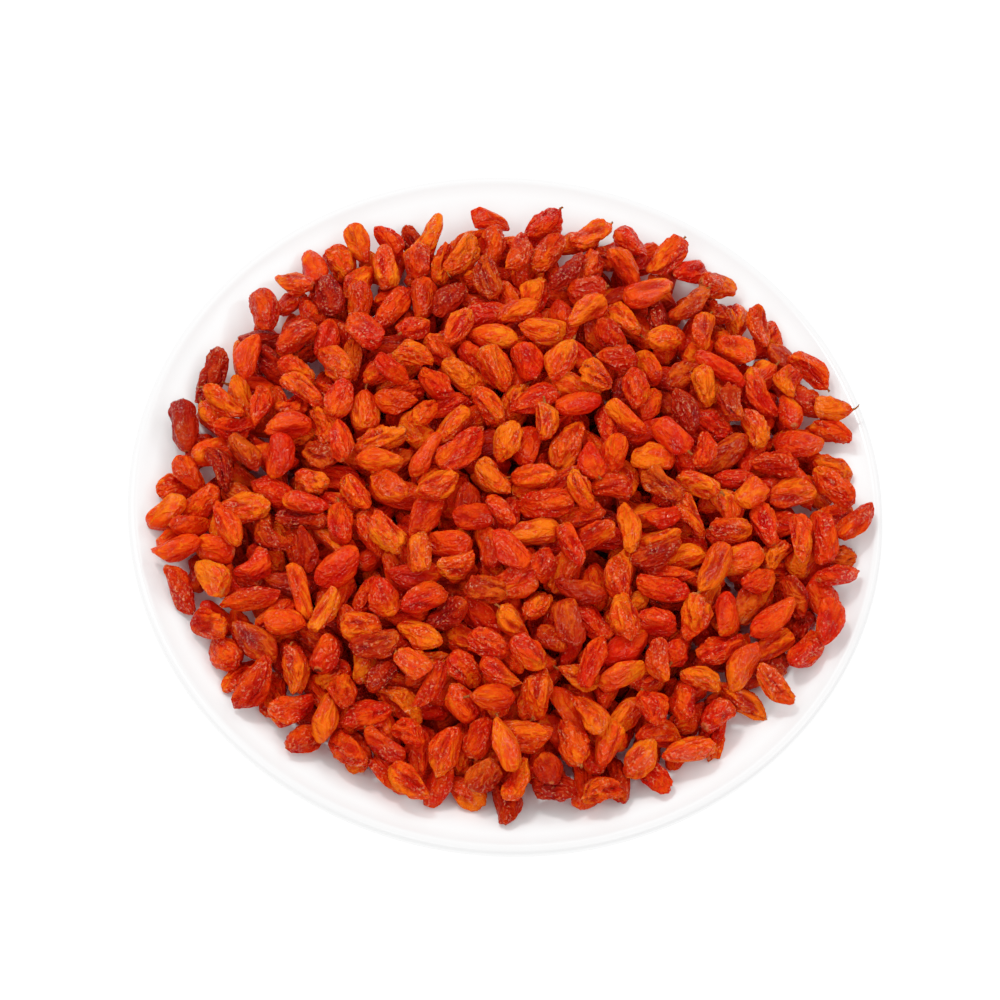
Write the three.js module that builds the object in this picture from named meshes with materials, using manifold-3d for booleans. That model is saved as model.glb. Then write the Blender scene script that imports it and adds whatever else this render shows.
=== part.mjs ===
// A shallow white glazed bowl heaped with dried sea buckthorn berries.
//
// Millimetres, +Z up. The origin is on the surface that the bowl stands on, at the centre of its foot.
// Two solids: the bowl, and the heap of berries that lies in it. The heap is one solid: a low core
// of packed fruit that fills the bowl, and the berries of the outer layer, which stand out of the core.
// Every berry is dropped by a seeded rule: it settles in a hollow of the berries that lie there already.
import * as THREE from 'three';
import { mergeVertices } from 'three/addons/utils/BufferGeometryUtils.js';
import Module from 'manifold-3d';

// The bowl
const RIM_RADIUS = 70;
const RIM_HEIGHT = 26;
const LIP_WIDTH = 1.8;
const LIP_FALL = 0.25;
const WALL = 3.2;
const FLOOR_HEIGHT = 6.4;
const FLOOR_RADIUS = 22;
const FLOOR_EASE = 20;
const RIM_EASE = 14;
const RIM_RISE = 5.9;
const FOOT_RADIUS = 37;
const FOOT_WIDTH = 3.4;
const FOOT_HEIGHT = 3;
const FOOT_ROUNDING = 0.4;
const BOWL_SIDES = 72;

// The heap: slightly oval, a little off the bowl's middle, one berry deep at its edge
const HEAP_RADIUS = 64.2;
const HEAP_OVAL = 2.2;
const HEAP_OVAL_TURN = 0.2;
const HEAP_SHIFT = 1.05;
const HEAP_SHIFT_TURN = -0.76;
const DOME_HEIGHT = 9.5;
const EDGE_DEPTH = 4.6;
const RESTING_GAP = 0.35;

// The core under the outer layer
const CORE_SINK = 2.6;
const CORE_MARGIN = 2.6;
const CORE_EDGE_DEPTH = 1.4;
const CORE_SIDES = 20;
const CORE_TOP_RINGS = [0.33, 0.65, 0.92];
const CORE_BOTTOM_RINGS = [0.37, 0.5, 0.63, 0.76, 0.88];

// The berries
const BERRY_LENGTH = 9.4;
const BERRY_WIDTH = 5.5;
const BERRY_THICKNESS = 4.7;
const SIZE_SPREAD = 0.26;
const BERRY_SWELL = 1.1;
const SHOWN_BERRIES = 248;
const SHOWN_SPACING = 4.4;
const OUTLINE_SHARE = 0.84;
const OUTLINE_WEIGHT = 2;
const ROOT = 1.1;
const MERGE_TOLERANCE = 0.02;

// The rule that drops them
const SEED = 20117;
const DROPS = 2200;
const CELL = 0.5;
const GRID_REACH = 76;
const CELLS = 2 * Math.round(GRID_REACH / CELL) + 1;
const SITES = 14;
const SITE_NEIGHBOURS = [[0, 0], [2, 0], [-2, 0], [0, 2], [0, -2]];
const POSES = 44;
const DRIFT = 3;
const MOST_PITCH = 0.75;
const EDGE_MARGIN = 2.2;
const EDGE_JITTER = 3;
const LEAST_NEED = 1.9;
const MOST_NEED = 5;
const MOST_PROUD = 2.4;
const SETTLE = 0.45;
const MOST_GAP = 0.7;
const HEIGHT_WEIGHT = 0.12;

const wasm = await Module();
wasm.setup();

const point = (radius, height) => new THREE.Vector2(radius, height);

// Random numbers from 0 to 1 that are the same in every run.
function seededRandom(seed) {
  let state = seed;
  return () => {
    state = (state * 16807) % 2147483647;
    return state / 2147483647;
  };
}

// A closed geometry as a solid that can be joined to others.
function solidOf(geometry) {
  const bare = geometry.clone();
  bare.deleteAttribute('normal');
  bare.deleteAttribute('uv');
  const merged = mergeVertices(bare, 1e-4);
  return new wasm.Manifold(
    new wasm.Mesh({
      numProp: 3,
      vertProperties: merged.attributes.position.array,
      triVerts: new Uint32Array(merged.index.array),
    }),
  );
}

function geometryOf(solid) {
  const mesh = solid.getMesh();
  const geometry = new THREE.BufferGeometry();
  geometry.setAttribute('position', new THREE.BufferAttribute(mesh.vertProperties, 3));
  geometry.setIndex(new THREE.BufferAttribute(mesh.triVerts, 1));
  geometry.computeVertexNormals();
  return geometry;
}

// A profile of (radius, height) points, turned round the Z axis.
function turned(profile, sides) {
  return new THREE.LatheGeometry(profile, sides).rotateX(Math.PI / 2);
}

// The inner face of the bowl's wall, from the edge of its flat floor to the lip.
function innerWall() {
  return new THREE.CubicBezierCurve(
    point(FLOOR_RADIUS, FLOOR_HEIGHT),
    point(FLOOR_RADIUS + FLOOR_EASE, FLOOR_HEIGHT),
    point(RIM_RADIUS - RIM_EASE, RIM_HEIGHT - RIM_RISE),
    point(RIM_RADIUS - LIP_WIDTH, RIM_HEIGHT - LIP_FALL),
  );
}

// The outer face of the wall, from under the lip to the top of the foot ring.
function outerWall() {
  return new THREE.CubicBezierCurve(
    point(RIM_RADIUS - 0.25, RIM_HEIGHT - 2.4),
    point(RIM_RADIUS - 12, RIM_HEIGHT - RIM_RISE - WALL),
    point(FOOT_RADIUS + 12, FLOOR_HEIGHT - WALL + 0.8),
    point(FOOT_RADIUS + 1, FOOT_HEIGHT),
  );
}

// The bowl: a flat floor, a wall that rises in one curve, a rounded lip and a foot ring underneath.
function bowl() {
  const footInside = FOOT_RADIUS - FOOT_WIDTH;
  const profile = [
    point(0, FLOOR_HEIGHT),
    ...innerWall().getPoints(8),
    point(RIM_RADIUS - 0.9, RIM_HEIGHT),
    point(RIM_RADIUS - 0.2, RIM_HEIGHT - 0.5),
    point(RIM_RADIUS, RIM_HEIGHT - 1.3),
    ...outerWall().getPoints(7),
    point(FOOT_RADIUS, FOOT_ROUNDING),
    point(FOOT_RADIUS - FOOT_ROUNDING, 0),
    point(footInside + FOOT_ROUNDING, 0),
    point(footInside, FOOT_ROUNDING),
    point(footInside - 0.8, FLOOR_HEIGHT - WALL),
    point(0, FLOOR_HEIGHT - WALL),
  ];
  return turned(profile.reverse(), BOWL_SIDES);
}

// The height of the bowl's inner face at a radius, by straight steps along its curve.
function makeGround() {
  const steps = innerWall().getPoints(40);
  return (radius) => {
    if (radius <= FLOOR_RADIUS) return FLOOR_HEIGHT;
    for (let i = 1; i < steps.length; i++) {
      if (radius <= steps[i].x) {
        const share = (radius - steps[i - 1].x) / (steps[i].x - steps[i - 1].x);
        return steps[i - 1].y + share * (steps[i].y - steps[i - 1].y);
      }
    }
    return RIM_HEIGHT;
  };
}

const ground = makeGround();

// The heap's outline, as its radius in the direction of (x, y).
function heapRadius(x, y) {
  const angle = Math.atan2(y, x);
  const oval = HEAP_OVAL * Math.cos(2 * (angle - HEAP_OVAL_TURN));
  return HEAP_RADIUS + oval + HEAP_SHIFT * Math.cos(angle - HEAP_SHIFT_TURN);
}

// The height that the heap's tops reach over (x, y): one berry deep at its edge, domed in the middle.
function heapTop(x, y) {
  const share = Math.min(Math.hypot(x, y) / heapRadius(x, y), 1);
  return ground(HEAP_RADIUS) + EDGE_DEPTH + DOME_HEIGHT * (1 - share * share);
}

// An ellipsoid's half axes and its turn, as the six numbers of its quadric.
function ellipsoid(halves, yaw, pitch, roll) {
  const turn = new THREE.Matrix4().makeRotationFromEuler(new THREE.Euler(roll, pitch, yaw, 'ZYX'));
  const axes = [new THREE.Vector3(), new THREE.Vector3(), new THREE.Vector3()];
  turn.extractBasis(...axes);
  const sum = (a, b) =>
    axes.reduce((total, axis, i) => total + (axis[a] * axis[b]) / (halves[i] * halves[i]), 0);
  const reach = (a) => Math.hypot(...axes.map((axis, i) => axis[a] * halves[i]));
  return {
    halves,
    turn,
    xx: sum('x', 'x'),
    yy: sum('y', 'y'),
    zz: sum('z', 'z'),
    xy: sum('x', 'y'),
    xz: sum('x', 'z'),
    yz: sum('y', 'z'),
    reachX: reach('x'),
    reachY: reach('y'),
    reachZ: reach('z'),
  };
}

// Calls visit(cell, low, high) for each grid cell under an ellipsoid centred on (x, y), with the
// heights of its lower and upper face there, measured from its centre.
function overFootprint(shape, x, y, visit) {
  const first = (centre, reach) => Math.ceil((centre - reach + GRID_REACH) / CELL);
  const last = (centre, reach) => Math.floor((centre + reach + GRID_REACH) / CELL);
  for (let row = first(y, shape.reachY); row <= last(y, shape.reachY); row++) {
    for (let column = first(x, shape.reachX); column <= last(x, shape.reachX); column++) {
      const dx = column * CELL - GRID_REACH - x;
      const dy = row * CELL - GRID_REACH - y;
      const b = shape.xz * dx + shape.yz * dy;
      const c = shape.xx * dx * dx + 2 * shape.xy * dx * dy + shape.yy * dy * dy - 1;
      const inside = b * b - shape.zz * c;
      if (inside <= 0) continue;
      const root = Math.sqrt(inside);
      visit(row * CELLS + column, (-b - root) / shape.zz, (-b + root) / shape.zz);
    }
  }
}

// The lowest heights that clear the bowl, over the whole grid.
function clearHeights() {
  const heights = new Float64Array(CELLS * CELLS);
  for (let row = 0; row < CELLS; row++) {
    for (let column = 0; column < CELLS; column++) {
      const radius = Math.hypot(column * CELL - GRID_REACH, row * CELL - GRID_REACH);
      heights[row * CELLS + column] = ground(radius) + RESTING_GAP;
    }
  }
  return heights;
}

// The place, out of a few drawn at random, where the heap lacks most.
function chooseSite(random, heights) {
  const nearest = (value) => Math.round((value + GRID_REACH) / CELL);
  const lack = (x, y) => {
    const top = heapTop(x, y);
    const parts = SITE_NEIGHBOURS.map(([dx, dy]) => top - heights[nearest(y + dy) * CELLS + nearest(x + dx)]);
    return parts.reduce((total, part) => total + Math.min(part, MOST_NEED), 0) / parts.length;
  };
  let best = { need: -Infinity };
  for (let i = 0; i < SITES; i++) {
    const radius = HEAP_RADIUS * Math.sqrt(random());
    const angle = 2 * Math.PI * random();
    const x = radius * Math.cos(angle);
    const y = radius * Math.sin(angle);
    const need = lack(x, y);
    if (need > best.need) best = { x, y, need };
  }
  return best;
}

// The way of lying near a site, out of many drawn at random, in which a berry sits lowest and snuggest.
function settle(random, heights, site, halves) {
  const margin = EDGE_MARGIN + EDGE_JITTER * random();
  let best = null;
  for (let i = 0; i < POSES; i++) {
    const x = site.x + DRIFT * (2 * random() - 1);
    const y = site.y + DRIFT * (2 * random() - 1);
    const yaw = 2 * Math.PI * random();
    const pitch = MOST_PITCH * (random() + random() - 1);
    const roll = Math.PI * random();
    const shape = ellipsoid(halves, yaw, pitch, roll);
    const supports = [];
    overFootprint(shape, x, y, (cell, low) => supports.push(heights[cell] - low));
    const z = Math.max(...supports) - SETTLE;
    const gaps = supports.reduce((total, support) => total + Math.min(z - support, MOST_GAP), 0);
    const outside = Math.hypot(x, y) > heapRadius(x, y) - margin;
    if (outside || z + shape.reachZ > heapTop(x, y) + MOST_PROUD) continue;
    const score = gaps / supports.length + HEIGHT_WEIGHT * z;
    if (!best || score < best.score) best = { x, y, z, shape, score };
  }
  return best;
}

// Drops the berries one by one. Returns each with its place, its turn and how many cells it shows in.
function dropBerries() {
  const random = seededRandom(SEED);
  const heights = clearHeights().map((height) => height + SETTLE);
  const owner = new Int32Array(CELLS * CELLS).fill(-1);
  const berries = [];
  for (let drop = 0; drop < DROPS; drop++) {
    const site = chooseSite(random, heights);
    const size = () => 1 + SIZE_SPREAD * (random() + random() - 1);
    const halves = [BERRY_LENGTH, BERRY_WIDTH, BERRY_THICKNESS].map((full) => (full * size()) / 2);
    const berry = settle(random, heights, site, halves);
    if (site.need < LEAST_NEED || !berry) continue;
    overFootprint(berry.shape, berry.x, berry.y, (cell, low, high) => {
      if (berry.z + high > heights[cell]) {
        heights[cell] = berry.z + high;
        owner[cell] = berries.length;
      }
    });
    berries.push({ ...berry, shows: 0 });
  }
  for (const index of owner) if (index >= 0) berries[index].shows += 1;
  return berries;
}

// The berries that show most, spread evenly, with those of the heap's outline first.
function outerLayer(berries) {
  const weight = ({ x, y, shows }) =>
    Math.hypot(x, y) > OUTLINE_SHARE * heapRadius(x, y) ? OUTLINE_WEIGHT * shows : shows;
  const chosen = [];
  for (const berry of [...berries].sort((a, b) => weight(b) - weight(a))) {
    const apart = (other) => Math.hypot(other.x - berry.x, other.y - berry.y) >= SHOWN_SPACING;
    if (chosen.length < SHOWN_BERRIES && chosen.every(apart)) chosen.push(berry);
  }
  return chosen;
}

// The height of the core's upper face: under the berries' tops, and thin at the heap's edge.
function coreTop(x, y) {
  const inward = heapRadius(x, y) - CORE_MARGIN - Math.hypot(x, y);
  const edge = ground(Math.hypot(x, y)) + RESTING_GAP + CORE_EDGE_DEPTH + Math.max(inward, 0);
  return Math.min(heapTop(x, y) - CORE_SINK, edge);
}

// The packed fruit under the outer layer: a disc whose two faces follow the bowl and the dome.
function coreSolid() {
  const profile = [
    point(0, 0),
    ...CORE_BOTTOM_RINGS.map((share) => point(share, 0)),
    point(1, 0),
    point(1, 1),
    ...[...CORE_TOP_RINGS].reverse().map((share) => point(share, 1)),
    point(0, 1),
  ];
  const disc = turned(profile, CORE_SIDES);
  const place = disc.attributes.position;
  for (let i = 0; i < place.count; i++) {
    const onTop = place.getZ(i) > 0.5;
    const reach = heapRadius(place.getX(i), place.getY(i)) - CORE_MARGIN;
    const x = place.getX(i) * reach;
    const y = place.getY(i) * reach;
    place.setXYZ(i, x, y, onTop ? coreTop(x, y) : ground(Math.hypot(x, y)) + RESTING_GAP);
  }
  return solidOf(disc);
}

// The height of a berry's centre that roots it in the core and still clears the bowl.
function rootedHeight({ x, y, z, shape }, clear) {
  let lowest = -Infinity;
  overFootprint(shape, x, y, (cell, low) => {
    lowest = Math.max(lowest, clear[cell] - low);
  });
  return Math.max(lowest, Math.min(z, coreTop(x, y) + shape.reachZ - ROOT));
}

// One berry: a stretched solid of twenty faces, in its place.
function berrySolid({ x, y, shape }, height) {
  const body = new THREE.IcosahedronGeometry(BERRY_SWELL, 0);
  body.scale(...shape.halves);
  body.applyMatrix4(shape.turn);
  body.translate(x, y, height);
  return solidOf(body);
}

// The heap: the core and the outer layer, joined in one solid.
function heap() {
  const clear = clearHeights();
  const berries = outerLayer(dropBerries());
  const solids = berries.map((berry) => berrySolid(berry, rootedHeight(berry, clear)));
  const joined = wasm.Manifold.union([coreSolid(), ...solids]);
  const [whole] = joined.decompose().sort((a, b) => b.volume() - a.volume());
  return geometryOf(whole.simplify(MERGE_TOLERANCE));
}

const glaze = new THREE.MeshStandardMaterial({ color: 0xf4f0ee, roughness: 0.18, metalness: 0 });
const driedSkin = new THREE.MeshStandardMaterial({ color: 0xc23c12, roughness: 0.5, metalness: 0 });

function named(name, geometry, material) {
  const mesh = new THREE.Mesh(geometry, material);
  mesh.name = name;
  return mesh;
}

const bowlOfBerries = new THREE.Group();
bowlOfBerries.add(named('bowl', bowl(), glaze));
bowlOfBerries.add(named('berry_heap', heap(), driedSkin));

export default bowlOfBerries;
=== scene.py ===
# A shallow white glazed bowl heaped with dried sea buckthorn berries. Metres, +Z up.
#
# The berries are dropped by the same seeded rule as the solids, so each lies where its solid does,
# and each is then shaped on its own: a shrunken skin with folds, dents, flats and a stalk scar.
import math
from collections import namedtuple

import bpy
import numpy as np
from mathutils import Matrix, Vector


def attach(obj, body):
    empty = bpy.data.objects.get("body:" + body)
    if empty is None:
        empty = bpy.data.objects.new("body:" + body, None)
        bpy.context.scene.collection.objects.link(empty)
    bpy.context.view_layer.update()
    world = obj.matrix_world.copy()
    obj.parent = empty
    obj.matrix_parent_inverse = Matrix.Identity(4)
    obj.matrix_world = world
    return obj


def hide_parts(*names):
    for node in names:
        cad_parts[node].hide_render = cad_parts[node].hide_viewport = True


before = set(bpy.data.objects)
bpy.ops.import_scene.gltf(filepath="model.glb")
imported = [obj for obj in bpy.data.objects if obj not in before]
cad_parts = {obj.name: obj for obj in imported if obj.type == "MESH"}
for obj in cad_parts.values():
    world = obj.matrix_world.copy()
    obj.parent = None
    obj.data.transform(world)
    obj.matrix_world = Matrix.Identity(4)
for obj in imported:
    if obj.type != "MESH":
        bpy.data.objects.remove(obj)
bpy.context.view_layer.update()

MM = 0.001

# The bowl
RIM_RADIUS = 70 * MM
RIM_HEIGHT = 26 * MM
LIP_WIDTH = 1.8 * MM
LIP_FALL = 0.25 * MM
LIP_DEPTH = 1.3 * MM
LIP_INNER_PULL = 0.75 * MM
LIP_OUTER_PULL = 1.35 * MM
LIP_UNDER_PULL = 0.5 * MM
LIP_OVERHANG = 0.25 * MM
LIP_BAND = 2.4 * MM
WALL = 3.2 * MM
WALL_TOP_PULL = 0.25 * MM
WALL_EASE = 12 * MM
WALL_FOOT_RISE = 0.8 * MM
FLOOR_HEIGHT = 6.4 * MM
FLOOR_RADIUS = 22 * MM
FLOOR_EASE = 20 * MM
RIM_EASE = 14 * MM
RIM_RISE = 5.9 * MM
FOOT_RADIUS = 37 * MM
FOOT_WIDTH = 3.4 * MM
FOOT_HEIGHT = 3 * MM
FOOT_ROUNDING = 0.4 * MM
FOOT_FILLET = 1.6 * MM
FOOT_FILLET_RISE = 0.05 * MM
FOOT_FLARE = 0.3 * MM
FOOT_FLARE_FALL = 0.4 * MM
FOOT_TAPER = 0.8 * MM
FOOT_LANDING = 6 * MM
FLOOR_RINGS = (0.25, 0.5, 0.75)
UNDERSIDE_RINGS = (0.7, 0.5, 0.3)
BOWL_SIDES = 200
WALL_STEPS = 34
LIP_STEPS = 10
ROUNDING_STEPS = 4
MOST_ROUNDED = 0.45
BOWL_UNEVENNESS = 0.14 * MM
BOWL_WAVE = 45 * MM
BOWL_NOISE_SHIFT = 7

# The heap: slightly oval, a little off the bowl's middle, one berry deep at its edge
HEAP_RADIUS = 64.2 * MM
HEAP_OVAL = 2.2 * MM
HEAP_OVAL_TURN = 0.2
HEAP_SHIFT = 1.05 * MM
HEAP_SHIFT_TURN = -0.76
DOME_HEIGHT = 9.5 * MM
EDGE_DEPTH = 4.6 * MM
RESTING_GAP = 0.35 * MM

# The berries
BERRY_LENGTH = 9.4 * MM
BERRY_WIDTH = 5.5 * MM
BERRY_THICKNESS = 4.7 * MM
SIZE_SPREAD = 0.26

# The rule that drops them
SEED = 20117
RANDOM_FACTOR = 16807
RANDOM_MODULUS = 2147483647
GROUND_STEPS = 40
DROPS = 2200
CELL = 0.5 * MM
GRID_REACH = 76 * MM
CELLS = 2 * round(GRID_REACH / CELL) + 1
SITES = 14
SITE_NEIGHBOURS = ((0, 0), (2 * MM, 0), (-2 * MM, 0), (0, 2 * MM), (0, -2 * MM))
POSES = 44
DRIFT = 3 * MM
MOST_PITCH = 0.75
EDGE_MARGIN = 2.2 * MM
EDGE_JITTER = 3 * MM
LEAST_NEED = 1.9 * MM
MOST_NEED = 5 * MM
MOST_PROUD = 2.4 * MM
SETTLE = 0.45 * MM
MOST_GAP = 0.7 * MM
HEIGHT_WEIGHT = 0.12

# The camera, the floor and the lights
CAMERA_LENS = 107
CAMERA_NEAR = 0.01
CAMERA_DISTANCE = 0.556
CAMERA_ELEVATION = math.radians(63.3)
CAMERA_ROLL = math.radians(6.2)
CAMERA_AIM = Vector((-1.3 * MM, 1.8 * MM, 20 * MM))
FLOOR_REACH = 12
FLOOR_TONE = 0.1
FLOOR_ROUGHNESS = 0.9
FLOOR_GLOW = 1.06
KEY_PLACE = (-0.24, 0.24, 0.72)
KEY_SIZE = 0.15
KEY_POWER = 1.7
RING_LAMPS = 7
RING_RADIUS = 0.46
RING_HEIGHT = 0.58
RING_SIZE = 0.26
RING_POWER = 0.45
SKY = 0.66

# The tones of the picture, as points of (light, tone) on a curve for all colours and one for each
ALL_TONES = ((0.06, 0.095), (0.25, 0.365), (0.55, 0.64), (0.8, 0.855), (1.0, 0.968))
BRIGHTEST = 1.14
RED_TONES = ((0.045, 0.06), (0.144, 0.168), (0.32, 0.325), (0.6, 0.6))
GREEN_TONES = ((0.0056, 0.0033), (0.0152, 0.0104), (0.035, 0.032), (0.08, 0.079), (0.3, 0.3))
BLUE_TONES = ((0.009, 0.0068), (0.03, 0.029), (0.3, 0.3))


def seeded_random(seed):
    """Calls to what this gives return numbers from 0 to 1, the same in every run."""
    state = seed

    def draw():
        nonlocal state
        state = (state * RANDOM_FACTOR) % RANDOM_MODULUS
        return state / RANDOM_MODULUS

    return draw


def bezier(start, start_pull, end_pull, end, steps):
    """Points along a cubic curve, both ends among them."""
    t = np.linspace(0, 1, steps + 1)[:, None]
    s = 1 - t
    corners = [np.array(corner, float) for corner in (start, start_pull, end_pull, end)]
    return s**3 * corners[0] + 3 * s**2 * t * corners[1] + 3 * s * t**2 * corners[2] + t**3 * corners[3]


def inner_wall(steps):
    """The inner face of the bowl's wall, from the edge of its flat floor to the lip."""
    return bezier(
        (FLOOR_RADIUS, FLOOR_HEIGHT),
        (FLOOR_RADIUS + FLOOR_EASE, FLOOR_HEIGHT),
        (RIM_RADIUS - RIM_EASE, RIM_HEIGHT - RIM_RISE),
        (RIM_RADIUS - LIP_WIDTH, RIM_HEIGHT - LIP_FALL),
        steps,
    )


WALL_RADII, WALL_HEIGHTS = inner_wall(GROUND_STEPS).T


def ground(radius):
    """The height of the bowl's inner face at a radius."""
    return np.interp(radius, WALL_RADII, WALL_HEIGHTS, left=FLOOR_HEIGHT, right=RIM_HEIGHT)


# The heap

Berry = namedtuple("Berry", "index place halves turn shows")
EDGE_TOP = float(ground(HEAP_RADIUS)) + EDGE_DEPTH


def heap_radius(x, y):
    """The heap's outline, as its radius in the direction of (x, y)."""
    angle = math.atan2(y, x)
    oval = HEAP_OVAL * math.cos(2 * (angle - HEAP_OVAL_TURN))
    return HEAP_RADIUS + oval + HEAP_SHIFT * math.cos(angle - HEAP_SHIFT_TURN)


def heap_top(x, y):
    """The height that the heap's tops reach over (x, y)."""
    share = min(math.hypot(x, y) / heap_radius(x, y), 1)
    return EDGE_TOP + DOME_HEIGHT * (1 - share * share)


def turn_of(yaw, pitch, roll):
    """A turn by roll about X, then pitch about Y, then yaw about Z."""
    cx, sx = math.cos(roll), math.sin(roll)
    cy, sy = math.cos(pitch), math.sin(pitch)
    cz, sz = math.cos(yaw), math.sin(yaw)
    return (
        (cz * cy, cz * sy * sx - sz * cx, cz * sy * cx + sz * sx),
        (sz * cy, sz * sy * sx + cz * cx, sz * sy * cx - cz * sx),
        (-sy, cy * sx, cy * cx),
    )


def quadric(halves, turn, a, b):
    """One of the six numbers of a turned ellipsoid's quadric."""
    return sum(turn[a][i] * turn[b][i] / (halves[i] * halves[i]) for i in range(3))


def footprint(halves, turn, x, y):
    """The grid cells under an ellipsoid centred on (x, y), with the heights of its lower and upper
    face there, measured from its centre, and its reach upwards."""
    reach = [math.sqrt(sum((turn[a][i] * halves[i]) ** 2 for i in range(3))) for a in range(3)]
    first_column = math.ceil((x - reach[0] + GRID_REACH) / CELL)
    last_column = math.floor((x + reach[0] + GRID_REACH) / CELL)
    first_row = math.ceil((y - reach[1] + GRID_REACH) / CELL)
    last_row = math.floor((y + reach[1] + GRID_REACH) / CELL)
    dx = (np.arange(first_column, last_column + 1) * CELL - GRID_REACH - x)[None, :]
    dy = (np.arange(first_row, last_row + 1) * CELL - GRID_REACH - y)[:, None]
    zz = quadric(halves, turn, 2, 2)
    b = quadric(halves, turn, 0, 2) * dx + quadric(halves, turn, 1, 2) * dy
    c = quadric(halves, turn, 0, 0) * dx * dx + quadric(halves, turn, 1, 1) * dy * dy
    c += 2 * quadric(halves, turn, 0, 1) * dx * dy - 1
    inside = b * b - zz * c
    covered = inside > 0
    root = np.sqrt(np.where(covered, inside, 0))
    cells = (slice(first_row, last_row + 1), slice(first_column, last_column + 1))
    return cells, covered, (-b - root) / zz, (-b + root) / zz, reach[2]


def choose_site(random, heights):
    """The place, out of a few drawn at random, where the heap lacks most, and how much it lacks."""
    best = None
    for _ in range(SITES):
        radius = HEAP_RADIUS * math.sqrt(random())
        angle = 2 * math.pi * random()
        x = radius * math.cos(angle)
        y = radius * math.sin(angle)
        top = heap_top(x, y)
        lack = 0
        for dx, dy in SITE_NEIGHBOURS:
            row = math.floor((y + dy + GRID_REACH) / CELL + 0.5)
            column = math.floor((x + dx + GRID_REACH) / CELL + 0.5)
            lack += min(top - heights[row, column], MOST_NEED)
        need = lack / len(SITE_NEIGHBOURS)
        if best is None or need > best[2]:
            best = (x, y, need)
    return best


def settle(random, heights, site, halves):
    """The way of lying near a site, out of many drawn, in which a berry sits lowest and snuggest."""
    margin = EDGE_MARGIN + EDGE_JITTER * random()
    best = None
    for _ in range(POSES):
        x = site[0] + DRIFT * (2 * random() - 1)
        y = site[1] + DRIFT * (2 * random() - 1)
        yaw = 2 * math.pi * random()
        pitch = MOST_PITCH * (random() + random() - 1)
        roll = math.pi * random()
        if site[2] < LEAST_NEED:
            continue
        turn = turn_of(yaw, pitch, roll)
        cells, covered, low, high, reach = footprint(halves, turn, x, y)
        supports = (heights[cells] - low)[covered]
        z = supports.max() - SETTLE
        if math.hypot(x, y) > heap_radius(x, y) - margin or z + reach > heap_top(x, y) + MOST_PROUD:
            continue
        score = np.minimum(z - supports, MOST_GAP).mean() + HEIGHT_WEIGHT * z
        if best is None or score < best[0]:
            best = (score, (x, y, z), turn, cells, covered & (z + high > heights[cells]), z + high)
    return best


def drop_berries():
    """Drops the berries one by one, and counts the cells in which each shows from above."""
    random = seeded_random(SEED)
    across = np.arange(CELLS) * CELL - GRID_REACH
    heights = ground(np.hypot(across[None, :], across[:, None])) + RESTING_GAP + SETTLE
    owner = np.full((CELLS, CELLS), -1)
    dropped = []
    for _ in range(DROPS):
        site = choose_site(random, heights)
        sizes = (BERRY_LENGTH, BERRY_WIDTH, BERRY_THICKNESS)
        halves = [full * (1 + SIZE_SPREAD * (random() + random() - 1)) / 2 for full in sizes]
        best = settle(random, heights, site, halves)
        if best is None:
            continue
        _, place, turn, cells, covered, tops = best
        heights[cells][covered] = tops[covered]
        owner[cells][covered] = len(dropped)
        dropped.append((place, halves, turn))
    shows = np.bincount(owner[owner >= 0], minlength=len(dropped))
    return [
        Berry(i, np.array(place), np.array(halves), np.array(turn), int(shows[i]))
        for i, (place, halves, turn) in enumerate(dropped)
    ]


# Noise

NOISE_SIZE = 256
NOISE_GAIN = 1.7
noise_random = np.random.default_rng(SEED)
NOISE_ORDER = noise_random.permutation(NOISE_SIZE)
NOISE_WAYS = noise_random.normal(size=(NOISE_SIZE, 3))
NOISE_WAYS /= np.linalg.norm(NOISE_WAYS, axis=1)[:, None]


def noise(points):
    """Smooth noise between about -1 and 1, one value a point."""
    cell = np.floor(points).astype(int)
    part = points - cell
    fade = part**3 * (part * (part * 6 - 15) + 10)
    total = np.zeros(len(points))
    for corner in np.ndindex(2, 2, 2):
        x, y, z = ((cell + corner) % NOISE_SIZE).T
        shuffled = NOISE_ORDER[(NOISE_ORDER[(NOISE_ORDER[x] + y) % NOISE_SIZE] + z) % NOISE_SIZE]
        weight = np.prod(np.where(corner, fade, 1 - fade), axis=1)
        total += weight * np.sum(NOISE_WAYS[shuffled] * (part - corner), axis=1)
    return total * NOISE_GAIN


# Meshes

Grid = namedtuple("Grid", "directions corners totals uvs")


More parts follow.
